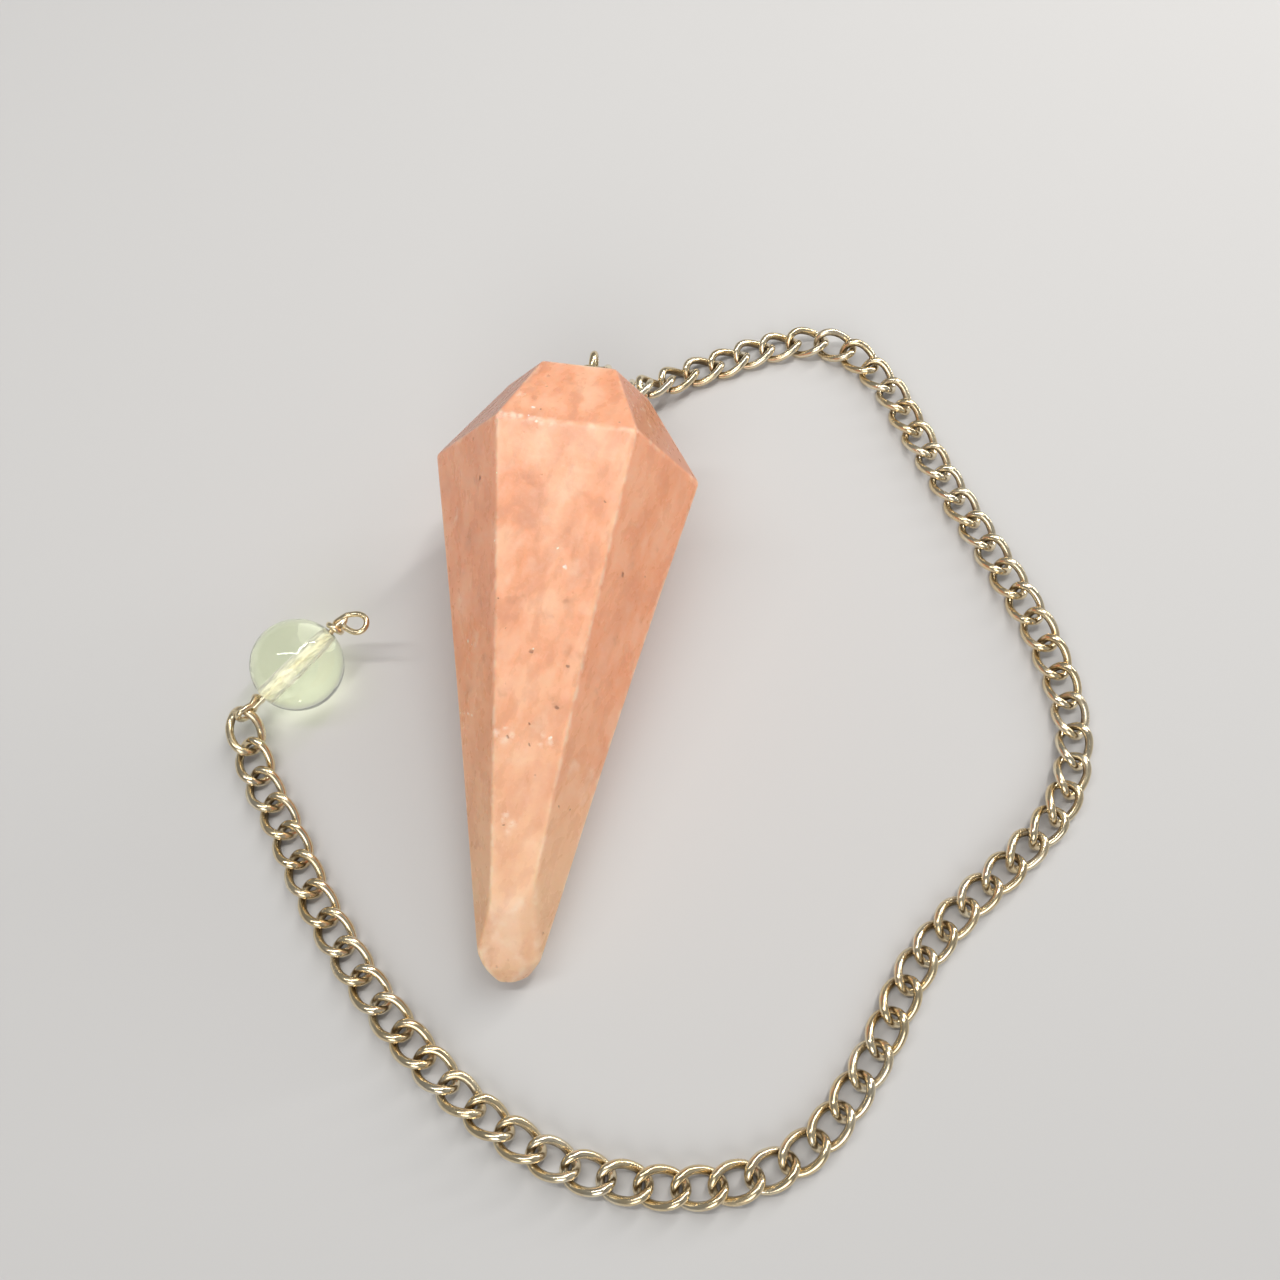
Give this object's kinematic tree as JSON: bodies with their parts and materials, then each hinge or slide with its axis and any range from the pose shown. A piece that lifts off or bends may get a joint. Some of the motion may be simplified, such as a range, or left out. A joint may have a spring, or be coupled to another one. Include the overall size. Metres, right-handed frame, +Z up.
{
  "type": "pendulum pendant",
  "caption": "Faceted pointed stone with a flat-topped crown and a wire eye, on a curb chain that ends in a round glass bead with wrapped wire loops.",
  "frame": {"origin": "middle of the long facet that the stone lies on", "axes": "+Y along the resting facet towards the stone's crown, +Z up from the surface, +X to the right seen from above with the crown at the top"},
  "size_m": [0.0562, 0.0626, 0.0156],
  "materials": {
    "stone": "polished, slightly cloudy peach pink",
    "chain": "aged pale gold plate",
    "wire": "pale gold wire",
    "glass": "clear, faintly green"
  },
  "bodies": {
    "root": {"stone": "stone", "eye_pin": "wire", "chain": "chain", "bead": "glass", "bead_wire": "wire"}
  },
  "joints": []
}
